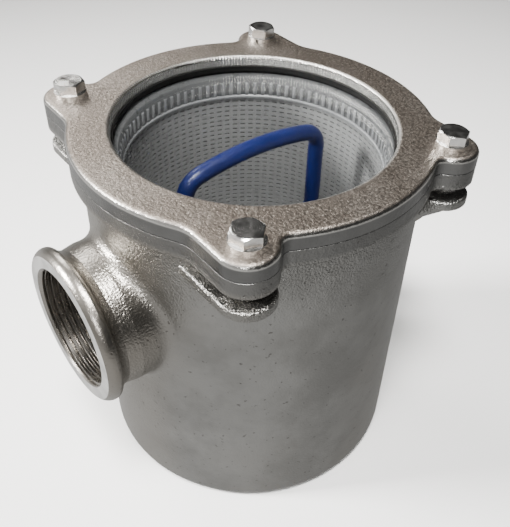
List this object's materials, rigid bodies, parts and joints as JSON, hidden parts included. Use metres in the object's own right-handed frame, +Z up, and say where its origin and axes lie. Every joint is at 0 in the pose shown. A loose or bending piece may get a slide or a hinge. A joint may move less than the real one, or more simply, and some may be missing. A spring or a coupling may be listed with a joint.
{
  "type": "sea water strainer",
  "caption": "Nickel plated cast sea water strainer with threaded side ports, a bolted cover ring over a clear flat window, and a lift-out basket with a rod handle.",
  "frame": {"origin": "centre of the flat base, on the cup's axis", "axes": "+Z up along the cup's axis, -X out of the inlet port, +X out of the outlet port"},
  "size_m": [0.166, 0.135, 0.1536],
  "materials": {
    "body": "nickel plated casting",
    "cover_ring": "nickel plated casting",
    "window": "clear",
    "gasket": "matte",
    "basket": "matte",
    "handle": "gloss",
    "steel": "bright"
  },
  "bodies": {
    "root": {"body": "body", "cover_ring": "cover_ring", "sight_window": "window", "window_gasket": "gasket", "body_seal": "gasket", "basket": "basket", "basket_handle": "handle", "cover_bolt_1": "steel", "cover_bolt_2": "steel", "cover_bolt_3": "steel", "cover_bolt_4": "steel", "lock_washer_1": "steel", "lock_washer_2": "steel", "lock_washer_3": "steel", "lock_washer_4": "steel", "cover_nut_1": "steel", "cover_nut_2": "steel", "cover_nut_3": "steel", "cover_nut_4": "steel"}
  },
  "joints": []
}
